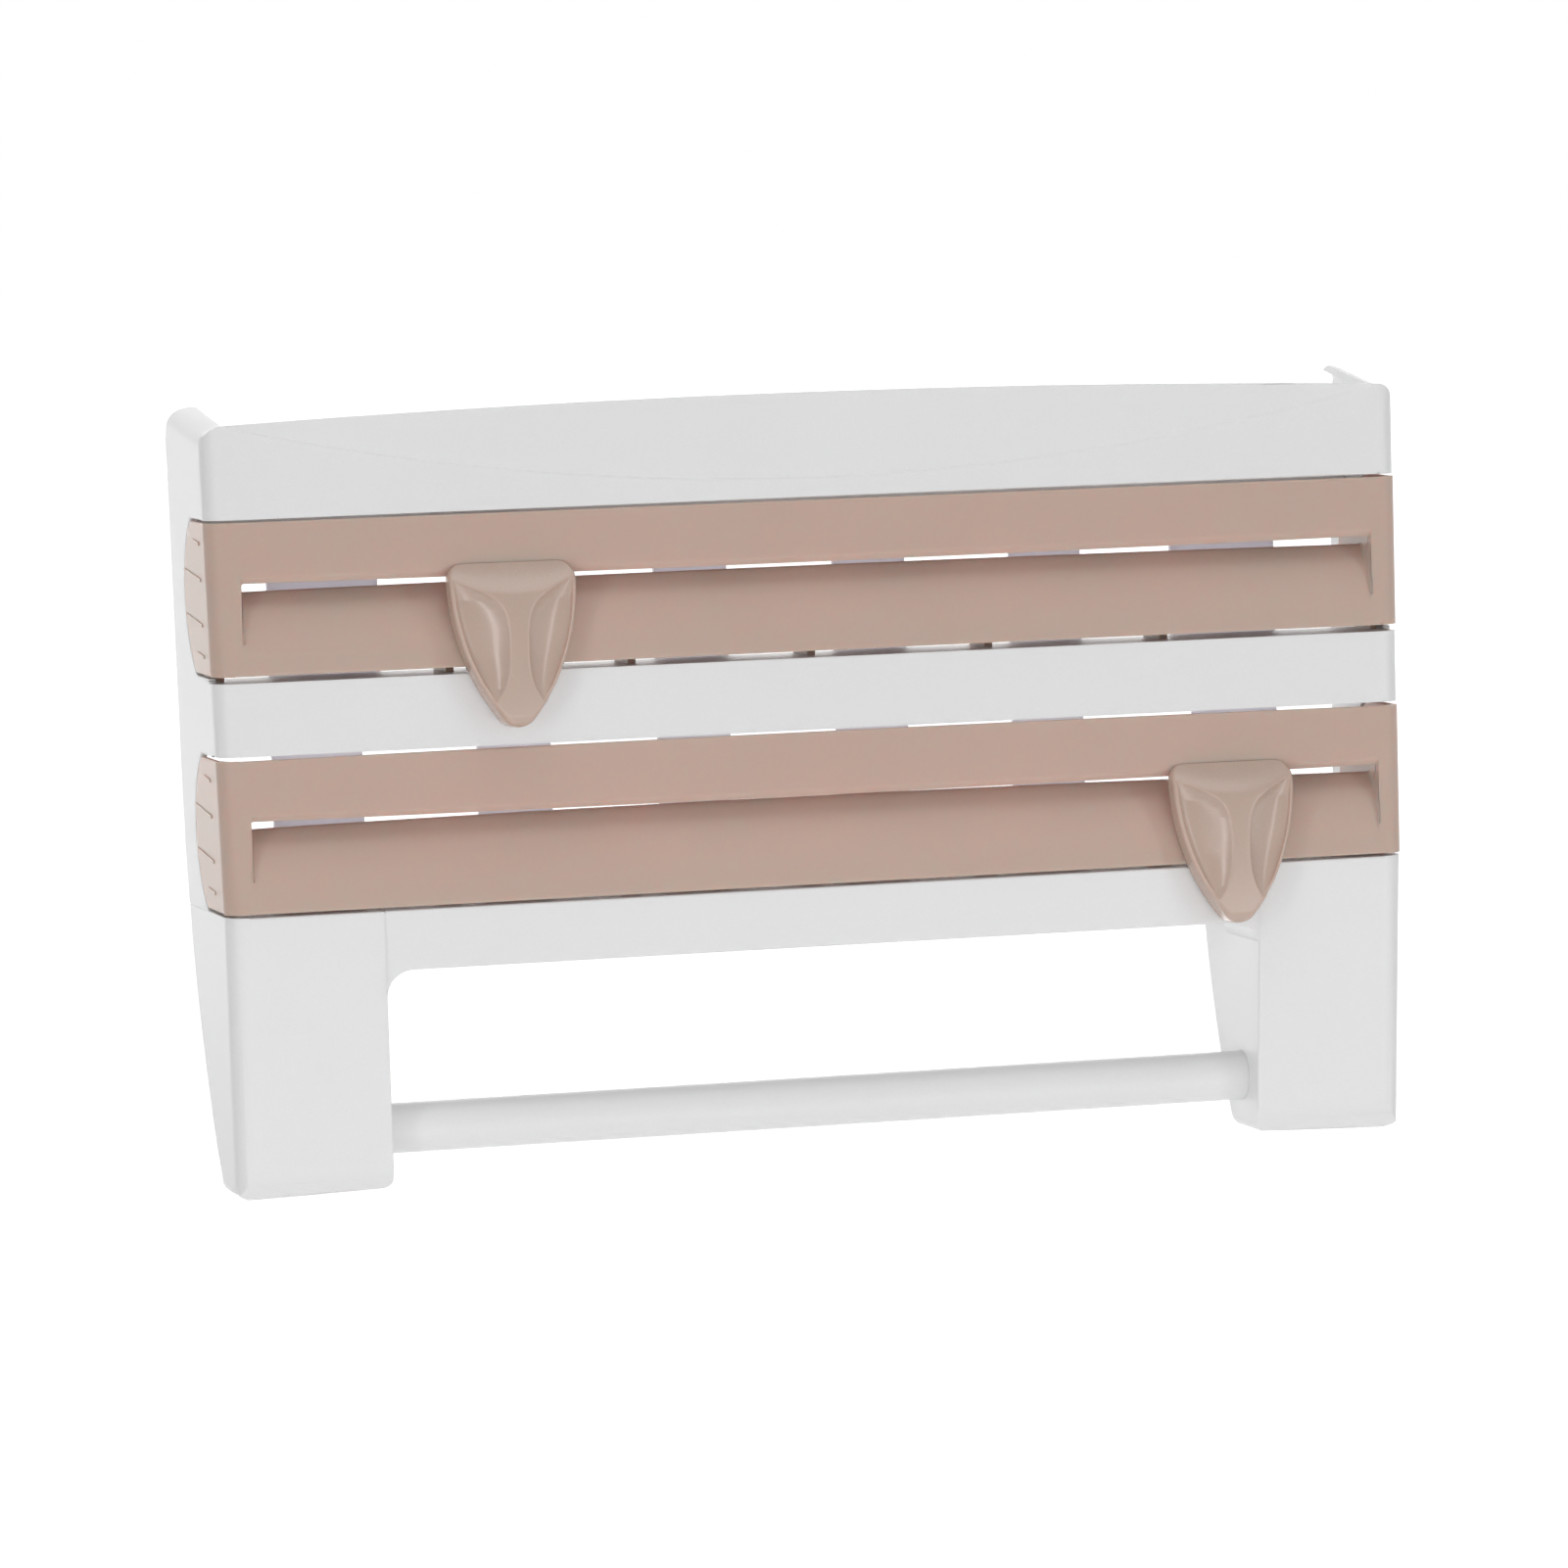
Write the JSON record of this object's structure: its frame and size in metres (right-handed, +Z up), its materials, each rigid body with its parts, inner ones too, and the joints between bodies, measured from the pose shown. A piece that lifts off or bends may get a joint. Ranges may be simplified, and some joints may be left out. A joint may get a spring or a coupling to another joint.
{
  "type": "kitchen wrap dispenser rack",
  "caption": "Wall-mounted kitchen wrap rack with a top shelf, pull-out roll trays behind slotted covers with sliding cutters, and a turning paper towel rod between its legs.",
  "frame": {"origin": "midway between the two wall screw holes, on the wall plane", "axes": "+X to the right seen from the front, +Y to the wall, +Z up"},
  "size_m": [0.39, 0.0722, 0.2448],
  "materials": {
    "white_plastic": "fine satin",
    "pink_plastic": "satin dusty pink",
    "cutter_plastic": "semi-gloss beige pink",
    "blade_steel": "ground"
  },
  "bodies": {
    "frame": {"side_left": "white_plastic", "side_right": "white_plastic", "fascia": "white_plastic", "shelf_floor": "white_plastic", "mid_bar": "white_plastic", "lower_bar": "white_plastic", "leg_left": "white_plastic", "leg_right": "white_plastic", "back_panel": "white_plastic"},
    "tray_upper": {"cover_upper": "pink_plastic", "trough_upper": "pink_plastic"},
    "tray_lower": {"cover_lower": "pink_plastic", "trough_lower": "pink_plastic"},
    "slider_upper": {"cutter_upper": "cutter_plastic", "carriage_upper": "white_plastic", "blade_upper": "blade_steel"},
    "slider_lower": {"cutter_lower": "cutter_plastic", "carriage_lower": "white_plastic", "blade_lower": "blade_steel"},
    "paper_rod": {"rod": "white_plastic"}
  },
  "joints": [
    {"name": "tray_upper_pull", "type": "slide", "parent": "frame", "child": "tray_upper", "axis": [0, -1, 0], "range_m": [0, 0.045]},
    {"name": "tray_lower_pull", "type": "slide", "parent": "frame", "child": "tray_lower", "axis": [0, -1, 0], "range_m": [0, 0.045]},
    {"name": "cutter_upper_slide", "type": "slide", "parent": "tray_upper", "child": "slider_upper", "axis": [1, 0, 0], "range_m": [-0.0645, 0.2645]},
    {"name": "cutter_lower_slide", "type": "slide", "parent": "tray_lower", "child": "slider_lower", "axis": [1, 0, 0], "range_m": [-0.2978, 0.0312]},
    {"name": "rod_spin", "type": "hinge", "parent": "frame", "child": "paper_rod", "pos_m": [0, -0.0415, -0.201], "axis": [1, 0, 0], "continuous": true}
  ]
}
